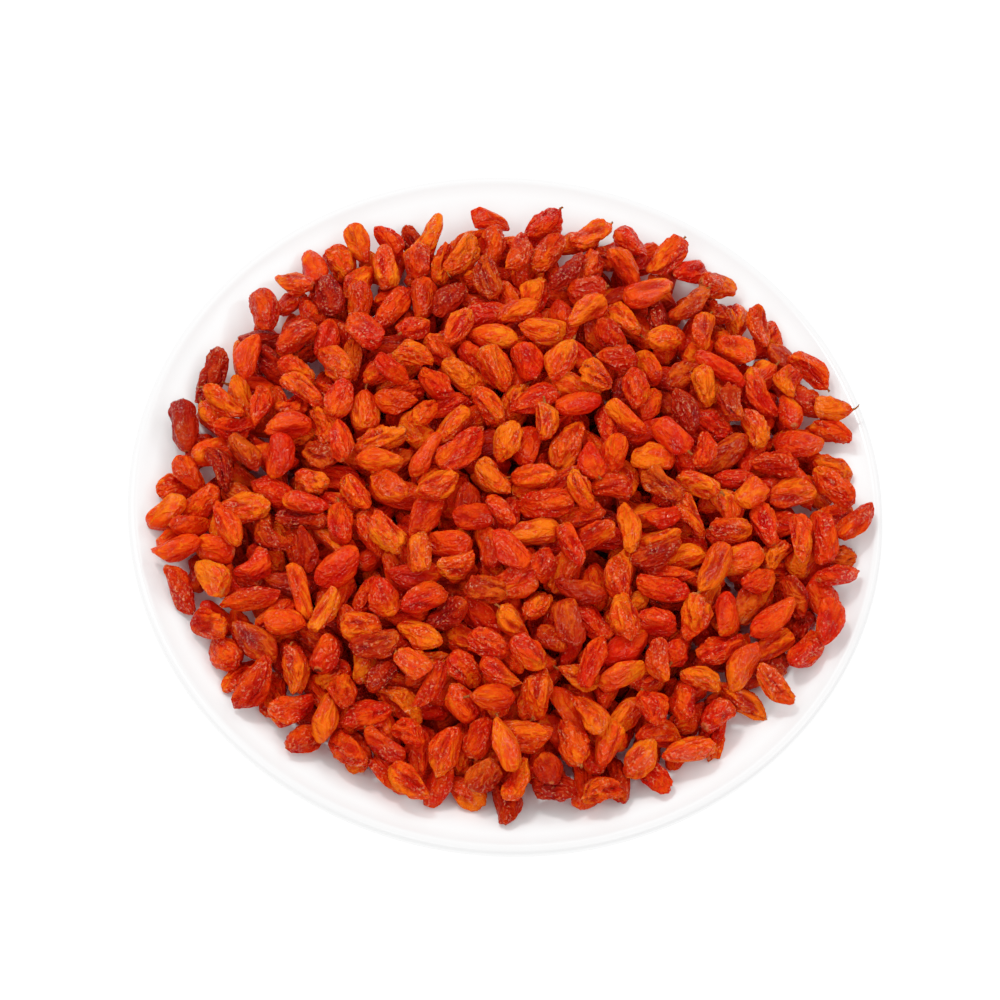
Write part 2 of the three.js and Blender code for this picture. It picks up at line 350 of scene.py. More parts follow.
def skin_grid(rings, sides):
    """A ball of rings round the X axis between two poles: its points, its faces and their flat map."""
    angles = np.linspace(0, math.pi, rings + 2)[1:-1]
    around = np.arange(sides) * 2 * math.pi / sides
    ring_points = np.stack(
        [
            np.repeat(np.cos(angles), sides),
            np.outer(np.sin(angles), np.cos(around)).ravel(),
            np.outer(np.sin(angles), np.sin(around)).ravel(),
        ],
        axis=1,
    )
    directions = np.vstack([[1, 0, 0], ring_points, [-1, 0, 0]])
    side = np.arange(sides)
    after = (side + 1) % sides
    row = (1 + np.arange(rings - 1) * sides)[:, None]
    quads = np.stack([row + side, row + sides + side, row + sides + after, row + after], axis=2)
    last = 1 + (rings - 1) * sides
    first_cap = np.stack([np.zeros(sides, int), 1 + side, 1 + after], axis=1)
    last_cap = np.stack([np.full(sides, last + sides), last + after, last + side], axis=1)
    corners = np.concatenate([quads.ravel(), first_cap.ravel(), last_cap.ravel()])
    totals = np.concatenate([np.full((rings - 1) * sides, 4), np.full(2 * sides, 3)])
    left, right = side / sides, (side + 1) / sides
    middle = (left + right) / 2
    v = (1 + np.arange(rings)) / (rings + 1)
    quad_uvs = np.zeros((rings - 1, sides, 4, 2))
    quad_uvs[..., 0] = np.stack([left, left, right, right], axis=1)[None]
    quad_uvs[..., 1] = np.stack([v[:-1], v[1:], v[1:], v[:-1]], axis=1)[:, None]
    caps = np.zeros((2, sides, 3, 2))
    caps[0, ..., 0] = np.stack([middle, left, right], axis=1)
    caps[0, ..., 1] = (0, v[0], v[0])
    caps[1, ..., 0] = np.stack([middle, right, left], axis=1)
    caps[1, ..., 1] = (1, v[-1], v[-1])
    uvs = np.concatenate([quad_uvs.reshape(-1, 2), caps.reshape(-1, 2)])
    return Grid(directions, corners, totals, uvs)


def add_piece(name, points, corners, totals, material, slot_name, *replaced):
    """A smooth mesh with its material that rides on the bowl's body, in place of the solids it hides;
    slot_name is not used.
    """
    mesh = bpy.data.meshes.new(name)
    mesh.vertices.add(len(points))
    mesh.vertices.foreach_set("co", np.asarray(points, np.float32).ravel())
    mesh.loops.add(len(corners))
    mesh.loops.foreach_set("vertex_index", np.asarray(corners, np.int32))
    mesh.polygons.add(len(totals))
    mesh.polygons.foreach_set("loop_start", (np.cumsum(totals) - totals).astype(np.int32))
    mesh.update(calc_edges=True)
    mesh.shade_smooth()
    mesh.materials.append(material)
    piece = bpy.data.objects.new(name, mesh)
    bpy.context.scene.collection.objects.link(piece)
    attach(piece, "root")
    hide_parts(*replaced)
    return piece


# Materials

# The colour sockets of a Mix node, which go by number since other sockets share their names
MIX_FIRST = 6
MIX_SECOND = 7
MIX_RESULT = 2


def add_node(tree, kind, inputs=(), **settings):
    """A shader node with its settings, and its inputs set to values or linked to other nodes' outputs."""
    node = tree.nodes.new(kind)
    for name, value in settings.items():
        setattr(node, name, value)
    for name, value in dict(inputs).items():
        if isinstance(value, bpy.types.NodeSocket):
            tree.links.new(value, node.inputs[name])
        else:
            node.inputs[name].default_value = value
    return node


def new_material(name):
    """An empty material, its node tree and its surface shader."""
    material = bpy.data.materials.new(name)
    material.use_nodes = True
    tree = material.node_tree
    tree.nodes.clear()
    shader = add_node(tree, "ShaderNodeBsdfPrincipled")
    output = add_node(tree, "ShaderNodeOutputMaterial")
    tree.links.new(shader.outputs["BSDF"], output.inputs["Surface"])
    return material, tree, shader


def ramp(tree, factor, stops):
    """A colour that runs through stops of (place, colour)."""
    node = add_node(tree, "ShaderNodeValToRGB", {"Fac": factor})
    elements = node.color_ramp.elements
    while len(elements) < len(stops):
        elements.new(0.5)
    for element, (place, colour) in zip(elements, stops):
        element.position = place
        element.color = (*colour, 1)
    return node.outputs["Color"]


def spread(tree, value, low, high, to_low, to_high):
    """value, stretched from low..high to to_low..to_high."""
    inputs = {"Value": value, "From Min": low, "From Max": high, "To Min": to_low, "To Max": to_high}
    return add_node(tree, "ShaderNodeMapRange", inputs).outputs["Result"]


def math_node(tree, operation, first, second):
    """The result of an operation on two values."""
    return add_node(tree, "ShaderNodeMath", {0: first, 1: second}, operation=operation).outputs[0]


def weighted_sum(tree, *parts):
    """The sum of values, each given with its weight."""
    total = None
    for value, weight in parts:
        part = math_node(tree, "MULTIPLY", value, weight)
        total = part if total is None else math_node(tree, "ADD", total, part)
    return total


def mix_colours(tree, factor, first, second):
    """The first colour where the factor is 0, and the second where it is 1."""
    inputs = {"Factor": factor, MIX_FIRST: first, MIX_SECOND: second}
    return add_node(tree, "ShaderNodeMix", inputs, data_type="RGBA").outputs[MIX_RESULT]


def texture_noise(tree, place, size, detail, distortion=0):
    """Noise whose lumps are about as wide as size, in metres."""
    inputs = {"Vector": place, "Scale": 1 / size, "Detail": detail, "Distortion": distortion}
    return add_node(tree, "ShaderNodeTexNoise", inputs).outputs["Fac"]


def bump(tree, height, depth, strength=1.0, **inputs):
    """The normal of a surface that a value raises by up to depth, in metres."""
    inputs = {"Height": height, "Distance": depth, "Strength": strength, **inputs}
    return add_node(tree, "ShaderNodeBump", inputs).outputs["Normal"]


def attribute(tree, name):
    """A value that the mesh holds at each of its points."""
    return add_node(tree, "ShaderNodeAttribute", attribute_name=name).outputs["Fac"]


# Each look's crease colour is painted shade: the darker colour laid where the skin lies low in its folds
Look = namedtuple("Look", "share pale body deep crease")
LOOKS = {
    "orange": Look(
        share=0.50,
        pale=(0.76, 0.097, 0.003),
        body=(0.65, 0.036, 0.002),
        deep=(0.51, 0.012, 0.001),
        crease=(0.33, 0.004, 0.001),
    ),
    "scarlet": Look(
        share=0.28,
        pale=(0.74, 0.089, 0.003),
        body=(0.58, 0.032, 0.001),
        deep=(0.42, 0.012, 0.001),
        crease=(0.26, 0.004, 0.001),
    ),
    "amber": Look(
        share=0.09,
        pale=(0.77, 0.112, 0.004),
        body=(0.68, 0.042, 0.003),
        deep=(0.56, 0.016, 0.002),
        crease=(0.42, 0.003, 0.001),
    ),
    "russet": Look(
        share=0.13,
        pale=(0.53, 0.054, 0.003),
        body=(0.34, 0.016, 0.001),
        deep=(0.22, 0.007, 0.001),
        crease=(0.12, 0.002, 0.001),
    ),
}
# Pale pinkish specks: partly the skin's own scurf scales, partly painted glints
SCURF_AND_GLINT = (0.82, 0.27, 0.11)
SCAR_PALE = (0.45, 0.11, 0.03)
SCAR_DARK = (0.10, 0.022, 0.008)

# The noises of the skin, by the size of their lumps. Patches and waves are drawn out along the berry.
DRAWN_OUT = (0.42, 1, 1)
PATCH_SIZE = 2.3 * MM
PATCH_TWIST = 0.6
MOTTLE_SIZE = 0.9 * MM
WAVE_SIZE = 1.35 * MM
WAVE_TWIST = 0.7
SPECK_SIZE = 0.5 * MM

# How much of each goes into the skin's colour, from deep to pale, and into its fine relief
OWN_SHADE = 0.38
PATCH_SHADE = 0.82
MOTTLE_SHADE = 0.18
# The wave ridges also raise the fine relief, so their share in the colour is painted light and shade:
# paler on the ridges, darker between them
RIDGE_PAINTED_LIGHT = 0.18
DEEP_UNTIL = 0.60
BODY_FROM = 0.80
BODY_UNTIL = 0.87
PALE_FROM = 1.0
MOTTLE_RELIEF = 0.9
SPECK_RELIEF = 0.5
WRINKLE_DEPTH = 0.45 * MM

# Spans: a value is stretched from the first two numbers to the last two
RIDGE_SPAN = (0, 0.18, 1, 0)
# Painted shade: where the fold mark is low, the crease colour is laid on
CREASE_SHADE_SPAN = (0.1, 0.5, 0.85, 0)
# Painted highlight: where the fold mark is high, on the crests, the pale colour is laid on
CREST_HIGHLIGHT_SPAN = (0.6, 1, 0, 0.35)
# Where the pale specks lie, which are partly scurf and partly painted glints
SCURF_AND_GLINT_SPAN = (0.58, 0.68, 0, 0.42)
SCURF_AND_GLINT_WRINKLED_SPAN = (0.6, 1, 0.25, 1)
SCURF_AND_GLINT_PATCH_SPAN = (0.4, 0.6, 1, 0.1)
SCAR_PALE_SPAN = (0.15, 0.4, 0, 0.7)
SCAR_DARK_SPAN = (0.55, 0.75, 0, 1)
SKIN_ROUGHNESS_SPAN = (0.35, 0.65, 0.30, 0.46)
SHEEN_PATCH_SPAN = (0.4, 0.56, 0.5, 0.03)
SHEEN_SPECK_SPAN = (0.42, 0.6, 0.2, 1.25)

# The sheen on the skin, and the light that sinks into it
SHEEN_DEPTH = 0.4 * MM
SHEEN_ROUGHNESS = 0.13
SKIN_SPECULAR = 0.03
GLOW_SHARE = 0.5
GLOW_REACH = (1.0, 0.12, 0.04)
GLOW_DEPTH = 1.5 * MM


def dried_skin(name, look):
    """Dried fruit skin: patches of colour, painted shade deep in its folds and painted highlights on their
    crests, sharp lengthwise wrinkles, scurf specks that are partly painted glints, and a broken shine.
    """
    material, tree, shader = new_material(name)
    place = add_node(tree, "ShaderNodeAttribute", attribute_name="grain").outputs["Vector"]
    stretch = add_node(tree, "ShaderNodeVectorMath", {0: place, 1: DRAWN_OUT}, operation="MULTIPLY")
    drawn_out = stretch.outputs[0]
    patches = texture_noise(tree, drawn_out, PATCH_SIZE, 2, PATCH_TWIST)
    mottle = texture_noise(tree, place, MOTTLE_SIZE, 2)
    waves = texture_noise(tree, drawn_out, WAVE_SIZE, 1, WAVE_TWIST)
    specks = texture_noise(tree, place, SPECK_SIZE, 1)
    from_middle = math_node(tree, "ABSOLUTE", math_node(tree, "SUBTRACT", waves, 0.5), 0)
    ridges = spread(tree, from_middle, *RIDGE_SPAN)
    fold = attribute(tree, "fold")
    wrinkled = attribute(tree, "wrinkled")
    scar = attribute(tree, "scar")

    # the colour, with painted light and shade where the fold mark and the wave ridges rise and fall
    shade = weighted_sum(
        tree,
        (attribute(tree, "shade"), OWN_SHADE),
        (patches, PATCH_SHADE),
        (mottle, MOTTLE_SHADE),
        (ridges, RIDGE_PAINTED_LIGHT),
    )
    body_stops = ((BODY_FROM, look.body), (BODY_UNTIL, look.body))
    colour = ramp(tree, shade, ((DEEP_UNTIL, look.deep), *body_stops, (PALE_FROM, look.pale)))
    # painted shade in the creases of the folds
    colour = mix_colours(tree, spread(tree, fold, *CREASE_SHADE_SPAN), colour, (*look.crease, 1))
    # painted highlights on the crests of the folds
    colour = mix_colours(tree, spread(tree, fold, *CREST_HIGHLIGHT_SPAN), colour, (*look.pale, 1))
    # pale specks where the speck noise is high: partly scurf, partly painted glints
    scurf_and_glints = spread(tree, specks, *SCURF_AND_GLINT_SPAN)
    scurf_and_glints = math_node(tree, "MULTIPLY", scurf_and_glints, spread(tree, wrinkled, *SCURF_AND_GLINT_WRINKLED_SPAN))
    scurf_and_glints = math_node(tree, "MULTIPLY", scurf_and_glints, spread(tree, patches, *SCURF_AND_GLINT_PATCH_SPAN))
    colour = mix_colours(tree, scurf_and_glints, colour, (*SCURF_AND_GLINT, 1))
    colour = mix_colours(tree, spread(tree, scar, *SCAR_PALE_SPAN), colour, (*SCAR_PALE, 1))
    colour = mix_colours(tree, spread(tree, scar, *SCAR_DARK_SPAN), colour, (*SCAR_DARK, 1))
    tree.links.new(colour, shader.inputs["Base Color"])

    # the fine wrinkles
    relief = weighted_sum(tree, (ridges, 1), (mottle, MOTTLE_RELIEF), (specks, SPECK_RELIEF))
    relief = math_node(tree, "MULTIPLY", relief, wrinkled)
    surface = bump(tree, relief, WRINKLE_DEPTH)
    tree.links.new(surface, shader.inputs["Normal"])
    tree.links.new(spread(tree, mottle, *SKIN_ROUGHNESS_SPAN), shader.inputs["Roughness"])

    # the broken, waxy sheen
    tree.links.new(bump(tree, specks, SHEEN_DEPTH, Normal=surface), shader.inputs["Coat Normal"])
    sheen = spread(tree, patches, *SHEEN_PATCH_SPAN)
    sheen = math_node(tree, "MULTIPLY", sheen, spread(tree, specks, *SHEEN_SPECK_SPAN))
    tree.links.new(sheen, shader.inputs["Coat Weight"])
    shader.inputs["Coat Roughness"].default_value = SHEEN_ROUGHNESS
    shader.inputs["Specular IOR Level"].default_value = SKIN_SPECULAR
    shader.inputs["Subsurface Weight"].default_value = GLOW_SHARE
    shader.inputs["Subsurface Radius"].default_value = GLOW_REACH
    shader.inputs["Subsurface Scale"].default_value = GLOW_DEPTH
    return material


# The glaze and the clay
# Painted shade: a grey band along the top of the lip, for the shaded line where the lip turns over
LIP_SHADE_COLOUR = (0.76, 0.755, 0.755)
# Painted shade: the darker colour of the faces that look down, on the outside and underneath
DOWNWARD_SHADE_COLOUR = (0.80, 0.80, 0.795)
GLAZE_STOPS = ((0.3, (0.92, 0.93, 0.93)), (0.7, (0.935, 0.945, 0.945)))
CLAY_STOPS = ((0.35, (0.70, 0.65, 0.58)), (0.65, (0.80, 0.76, 0.70)))
CLOUD_SIZE = 30 * MM
SPECKLE_SIZE = 1.1 * MM
RIPPLE_SIZE = 6 * MM
RIPPLE_DEPTH = 0.3 * MM
RIPPLE_STRENGTH = 0.12
CLAY_ROUGHNESS = 0.6
BARE_SPAN = (0.2 * MM, 0.45 * MM, 1, 0)
# The next two spans place the painted shade of the faces that look down and of the lip
DOWNWARD_SHADE_SPAN = (-0.2, 0.1, 1, 0)
LIP_SHADE_SPAN = (RIM_HEIGHT - 1.4 * MM, RIM_HEIGHT - 0.4 * MM, 0, 1)
GLOSS_SPAN = (0.3, 0.7, 0.11, 0.17)


def white_glaze():
    """Glossy white glaze, a little uneven, with painted shade on the lip and on the faces that look down,
    bare clay under the foot.
    """
    material, tree, shader = new_material("white_glaze")
    own = add_node(tree, "ShaderNodeTexCoord").outputs
    place = own["Object"]
    height = add_node(tree, "ShaderNodeSeparateXYZ", {"Vector": place}).outputs["Z"]
    rise = add_node(tree, "ShaderNodeSeparateXYZ", {"Vector": own["Normal"]}).outputs["Z"]
    clouds = texture_noise(tree, place, CLOUD_SIZE, 2)
    speckle = texture_noise(tree, place, SPECKLE_SIZE, 3)
    ripple = texture_noise(tree, place, RIPPLE_SIZE, 2)
    bare = spread(tree, height, *BARE_SPAN)
    glaze = ramp(tree, clouds, GLAZE_STOPS)
    # painted shade on the faces that look down
    glaze = mix_colours(tree, spread(tree, rise, *DOWNWARD_SHADE_SPAN), glaze, (*DOWNWARD_SHADE_COLOUR, 1))
    # painted shade along the lip
    glaze = mix_colours(tree, spread(tree, height, *LIP_SHADE_SPAN), glaze, (*LIP_SHADE_COLOUR, 1))
    clay = ramp(tree, speckle, CLAY_STOPS)
    tree.links.new(mix_colours(tree, bare, glaze, clay), shader.inputs["Base Color"])
    roughness = weighted_sum(tree, (spread(tree, clouds, *GLOSS_SPAN), 1), (bare, CLAY_ROUGHNESS))
    tree.links.new(roughness, shader.inputs["Roughness"])
    relief = math_node(tree, "ADD", ripple, math_node(tree, "MULTIPLY", speckle, bare))
    tree.links.new(bump(tree, relief, RIPPLE_DEPTH, RIPPLE_STRENGTH), shader.inputs["Normal"])
    return material


# The stalk
STALK_STOPS = ((0.35, (0.09, 0.020, 0.004)), (0.65, (0.30, 0.095, 0.020)))
STREAK_SIZE = 0.25 * MM
STREAK_DEPTH = 0.08 * MM
STREAK_STRENGTH = 0.8
STALK_ROUGHNESS = 0.8
STALK_SPECULAR = 0.1


def dry_stalk():
    """Brown, dry, streaky stalk."""
    material, tree, shader = new_material("dry_stalk")
    place = add_node(tree, "ShaderNodeTexCoord").outputs["Object"]
    streaks = texture_noise(tree, place, STREAK_SIZE, 3)
    tree.links.new(ramp(tree, streaks, STALK_STOPS), shader.inputs["Base Color"])
    tree.links.new(bump(tree, streaks, STREAK_DEPTH, STREAK_STRENGTH), shader.inputs["Normal"])
    shader.inputs["Roughness"].default_value = STALK_ROUGHNESS
    shader.inputs["Specular IOR Level"].default_value = STALK_SPECULAR
    return material


def floor_material():
    """A pale floor that glows a little, so that it stays pale under the bowl as well."""
    material, tree, shader = new_material("floor")
    shader.inputs["Base Color"].default_value = (FLOOR_TONE, FLOOR_TONE, FLOOR_TONE, 1)
    shader.inputs["Roughness"].default_value = FLOOR_ROUGHNESS
    shader.inputs["Emission Color"].default_value = (1, 1, 1, 1)
    shader.inputs["Emission Strength"].default_value = FLOOR_GLOW
    return material


# The bowl


def rounded(corners, radius):
    """The corners of an open outline, each but the first and last rounded by a small curve."""
    corners = [np.array(corner, float) for corner in corners]
    points = [corners[0]]
    for before, corner, after in zip(corners, corners[1:], corners[2:]):
        to_before = before - corner
        to_after = after - corner
        shorter = min(np.linalg.norm(to_before), np.linalg.norm(to_after))
        reach = min(radius, MOST_ROUNDED * shorter)
        start = corner + to_before / np.linalg.norm(to_before) * reach
        end = corner + to_after / np.linalg.norm(to_after) * reach
        points.extend(bezier(start, (start + 2 * corner) / 3, (end + 2 * corner) / 3, end, ROUNDING_STEPS))
    points.append(corners[-1])
    return points


def bowl_outline():
    """The bowl's outline as (radius, height), from the middle of its floor over the lip to underneath."""
    inner = inner_wall(WALL_STEPS)
    underside = FLOOR_HEIGHT - WALL
    foot_inside = FOOT_RADIUS - FOOT_WIDTH
    slope = (inner[-1] - inner[-2]) / np.linalg.norm(inner[-1] - inner[-2])
    lip_end = np.array((RIM_RADIUS, RIM_HEIGHT - LIP_DEPTH))
    wall_start = np.array((RIM_RADIUS - LIP_OVERHANG, RIM_HEIGHT - LIP_BAND))
    wall_pull = np.array((RIM_RADIUS - WALL_EASE, RIM_HEIGHT - RIM_RISE - WALL))
    fall = (wall_pull - wall_start) / np.linalg.norm(wall_pull - wall_start)
    lip = bezier(
        inner[-1],
        inner[-1] + slope * LIP_INNER_PULL,
        lip_end + (0, LIP_OUTER_PULL),
        lip_end,
        LIP_STEPS,
    )
    under_lip = bezier(
        lip_end,
        lip_end - (0, LIP_UNDER_PULL),
        wall_start - fall * WALL_TOP_PULL,
        wall_start,
        ROUNDING_STEPS,
    )
    outer = bezier(
        wall_start,
        wall_pull,
        (FOOT_RADIUS + WALL_EASE, underside + WALL_FOOT_RISE),
        (FOOT_RADIUS + FOOT_FILLET, FOOT_HEIGHT + FOOT_FILLET_RISE),
        WALL_STEPS,
    )
    foot = rounded(
        [
            outer[-1],
            (FOOT_RADIUS + FOOT_FLARE, FOOT_HEIGHT - FOOT_FLARE_FALL),
            (FOOT_RADIUS, 0),
            (foot_inside, 0),
            (foot_inside - FOOT_TAPER, underside),
            (foot_inside - FOOT_LANDING, underside),
        ],
        FOOT_ROUNDING,
    )
    floor = [(FLOOR_RADIUS * share, FLOOR_HEIGHT) for share in FLOOR_RINGS]
    below = [(foot_inside * share, underside) for share in UNDERSIDE_RINGS]
    parts = [floor, inner, lip[1:], under_lip[1:], outer[1:], foot[1:], below]
    return np.vstack([np.asarray(part, float).reshape(-1, 2) for part in parts])


def add_bowl(material):
    """The outline turned round the Z axis, a little uneven, with its two middles closed."""
    outline = bowl_outline()
    rows = len(outline)
    around = np.arange(BOWL_SIDES) * 2 * math.pi / BOWL_SIDES
    points = np.stack(
        [
            np.outer(outline[:, 0], np.cos(around)).ravel(),
            np.outer(outline[:, 0], np.sin(around)).ravel(),
            np.repeat(outline[:, 1], BOWL_SIDES),
        ],
        axis=1,
    )
    waver = noise(points / BOWL_WAVE + BOWL_NOISE_SHIFT)[:, None]
    waver = waver * np.minimum(points[:, 2:] / RIM_HEIGHT, 1)
    points -= points / np.linalg.norm(points, axis=1)[:, None] * BOWL_UNEVENNESS * (waver + 1) / 2
    middle_top = len(points)
    points = np.vstack([points, [0, 0, FLOOR_HEIGHT], [0, 0, FLOOR_HEIGHT - WALL]])
    side = np.arange(BOWL_SIDES)
    after = (side + 1) % BOWL_SIDES
    row = (np.arange(rows - 1) * BOWL_SIDES)[:, None]
    quads = np.stack([row + side, row + BOWL_SIDES + side, row + BOWL_SIDES + after, row + after], axis=2)
    last = (rows - 1) * BOWL_SIDES
    top_cap = np.stack([np.full(BOWL_SIDES, middle_top), side, after], axis=1)
    under_cap = np.stack([np.full(BOWL_SIDES, middle_top + 1), last + after, last + side], axis=1)
    corners = np.concatenate([quads.ravel(), top_cap.ravel(), under_cap.ravel()])
    totals = np.concatenate([np.full((rows - 1) * BOWL_SIDES, 4), np.full(2 * BOWL_SIDES, 3)])
    add_piece("glazed_bowl", points, corners, totals, material, "white_glaze", "bowl")


# The berries

# The kinds of dried berry: plump, wrinkled, hollowed and badly shrunken, each with its share of the heap
Kind = namedtuple("Kind", "share folds fold_depth wrinkle dent flats bend hollow")
KINDS = (
    Kind(0.18, (0, 2), (0.05, 0.12), 0.12, 0.18, 4, 0.10, 0.0),
    Kind(0.34, (2, 5), (0.09, 0.22), 0.19, 0.28, 5, 0.15, 0.06),
    Kind(0.20, (1, 3), (0.07, 0.15), 0.15, 0.22, 4, 0.11, 0.22),
    Kind(0.28, (3, 6), (0.13, 0.32), 0.24, 0.44, 5, 0.25, 0.1),
)

# A berry's grid, by the number of cells of the dropping rule's grid in which it shows from above
HIDDEN_SHOWS = 8
HALF_SHOWS = 50
FINE_GRID = skin_grid(28, 34)
MIDDLE_GRID = skin_grid(17, 24)
COARSE_GRID = skin_grid(6, 10)

MOST_TRIANGLES = 190_000
MAP_MARGIN = 0.04
GRAIN_STEP = 17.3 * MM
SHADE_LEAN = 0.5

# How a berry is shaped, in a frame of its own: its axis runs from -1 to 1, and depths are shares of its
# half width. Most pairs of numbers are ranges that each berry draws from.
MOST_PHASE = 6
FOLD_STRAY = 0.3
FOLD_WANDER = (0.1, 0.4)
FOLD_WAVES = (1.5, 3.5)
FOLD_LEAN = 0.4
FOLD_WIDTH = (0.14, 0.34)
FOLD_MIDDLE = 0.45
FOLD_LENGTH = (0.45, 1.1)
FOLD_LIPS = 0.35
FOLD_FADE = 1.6
MOST_DENTS = 3
DENT_WAYS = (0.6, 1, 1)
DENT_SIZE = (0.35, 0.8)
DENT_DEPTH = (0.3, 1.2)
CORNER_COUNTS = (2, 3)
CORNER_TWIST = 0.5
CORNER_DEPTH = 0.07
WRINKLE_STRETCH = (0.85, 1.6, 1.6)
WRINKLE_REACH = 200
WRINKLE_SPREAD = (0.6, 1.3)
WRINKLE_SCALES = ((1, 1), (1.9, 0.6), (3.4, 0.3))
WRINKLE_CREST = 0.45
WRINKLE_FALL = 1.9
HOLLOW_RISE = (0.05, 0.7)
HOLLOW_HALVES = (0.72, 0.66)
HOLLOW_DEPTH = (0.6, 1.3)
BLUNTNESS = (0.72, 1.5)
PEAR = 0.25
WAIST_DEPTH = 0.09
WAIST_WAVES = (3, 6)
LENGTHWISE = 0.3
FLAT_WAYS = (0.45, 1, 1)
FLAT_PLACE = (0.5, 0.85)
FLAT_SOFTNESS = (0.025, 0.07)
FLAT_CUT = 0.85
BEND_REST = 0.4
SWAY = 0.07
SWAY_WAVES = 2.6
SCAR_WIDTH = 0.022
SCAR_HEIGHT = 0.09
MOST_SCAR = 0.8
LEAST_WIDE = 0.93
# The fold mark follows the berry's relief: the skin lays painted shade where it is low and painted
# highlights where it is high
FOLD_TONE = 0.55
FOLD_CONTRAST = 1.6
WRINKLE_TONE = 6
LEAST_WRINKLED = 0.6

# The stubs of stalk
STALK_GRID = skin_grid(7, 8)
STALK_SHARE = 0.16
STALK_LENGTH = (0.6 * MM, 1.5 * MM)
STALK_WIDTH = 0.42 * MM
STALK_ROOT = 0.3 * MM
STALK_BEND = 0.3
STALK_ROOT_SWELL = 0.9
STALK_ROOT_FADE = 5
STALK_END_SWELL = 0.35
NEAR_POLE = 0.001


def ease(value, low, high):
    """0 up to low, 1 from high on, and smooth between."""
    share = np.clip((value - low) / (high - low), 0, 1)
    return share * share * (3 - 2 * share)


def fold_relief(random, kind, along, around):
    """Long folds that wander from tip to tip, each a cut between two raised lips."""
    relief = np.zeros(len(along))
    count = random.integers(kind.folds[0], kind.folds[1] + 1)
    start = random.uniform(0, 2 * math.pi)
    for i in range(count):
        turn = start + 2 * math.pi * (i + random.uniform(-FOLD_STRAY, FOLD_STRAY)) / count
        swing = random.uniform(*FOLD_WANDER)
        wander = swing * np.sin(random.uniform(*FOLD_WAVES) * along + random.uniform(0, MOST_PHASE))
        lean = random.uniform(-FOLD_LEAN, FOLD_LEAN) * along
        off = np.angle(np.exp(1j * (around - turn - wander - lean)))
        width = random.uniform(*FOLD_WIDTH)
        middle = random.uniform(-FOLD_MIDDLE, FOLD_MIDDLE)
        length = random.uniform(*FOLD_LENGTH)
        reach = np.exp(-(((along - middle) / length) ** 4))
        cut = np.exp(-((off / width) ** 2))
        lips = np.exp(-(((np.abs(off) - 2 * width) / width) ** 2))
        relief += random.uniform(*kind.fold_depth) * reach * (FOLD_LIPS * lips - cut)
    return relief


def dent_relief(random, kind, directions):
    """One to three round, soft dents."""
    relief = np.zeros(len(directions))
    for _ in range(random.integers(1, MOST_DENTS + 1)):
        middle = random.normal(size=3) * DENT_WAYS
        middle /= np.linalg.norm(middle)
        size = random.uniform(*DENT_SIZE)
        apart = np.linalg.norm(directions - middle, axis=1)
        relief -= kind.dent * random.uniform(*DENT_DEPTH) * np.exp(-((apart / size) ** 2))
    return relief


def corner_relief(random, along, around, ring):
    """What makes a berry's section a little oval and three-cornered, with a twist along it."""
    relief = np.zeros(len(along))
    for corners in CORNER_COUNTS:
        turned = around + random.uniform(-CORNER_TWIST, CORNER_TWIST) * along
        depth = random.uniform(0, CORNER_DEPTH)
        relief += depth * np.cos(corners * turned + random.uniform(0, MOST_PHASE)) * ring
    return relief


def wrinkle_relief(wrinkle, directions, shift):
    """Sharp wrinkles along the berry, at three sizes."""
    drawn_out = directions * WRINKLE_STRETCH + shift
    relief = np.zeros(len(directions))
    for scale, share in WRINKLE_SCALES:
        folded = np.abs(noise(drawn_out * scale))
        relief += wrinkle * share * (WRINKLE_CREST - WRINKLE_FALL * folded)
    return relief


def hollow_relief(random, kind, directions, upward):
    """A broad hollow in the face that looks up."""
    face = ease(directions[:, 2] * upward, *HOLLOW_RISE)
    from_middle = ((directions[:, :2] / HOLLOW_HALVES) ** 2).sum(axis=1)
    return -kind.hollow * random.uniform(*HOLLOW_DEPTH) * face * np.exp(-(from_middle**2))


def flatten(random, kind, points):
    """Presses flats into a berry, as its neighbours do."""
    for _ in range(kind.flats):
        way = random.normal(size=3) * FLAT_WAYS
        way /= np.linalg.norm(way)
        over = points @ way - random.uniform(*FLAT_PLACE)
        softness = random.uniform(*FLAT_SOFTNESS)
        cut = softness * np.logaddexp(0, over / softness)
        points -= FLAT_CUT * cut[:, None] * way


def bend(random, kind, points):
    """Bends a berry to one side and lets it sway a little."""
    aside = random.normal(0, kind.bend, 2)
    points[:, 1:] += np.outer(points[:, 0] ** 2 - BEND_REST, aside)
    phase = random.uniform(0, MOST_PHASE)
    points[:, 1:] += np.outer(np.sin(SWAY_WAVES * points[:, 0] + phase), random.normal(0, SWAY, 2))


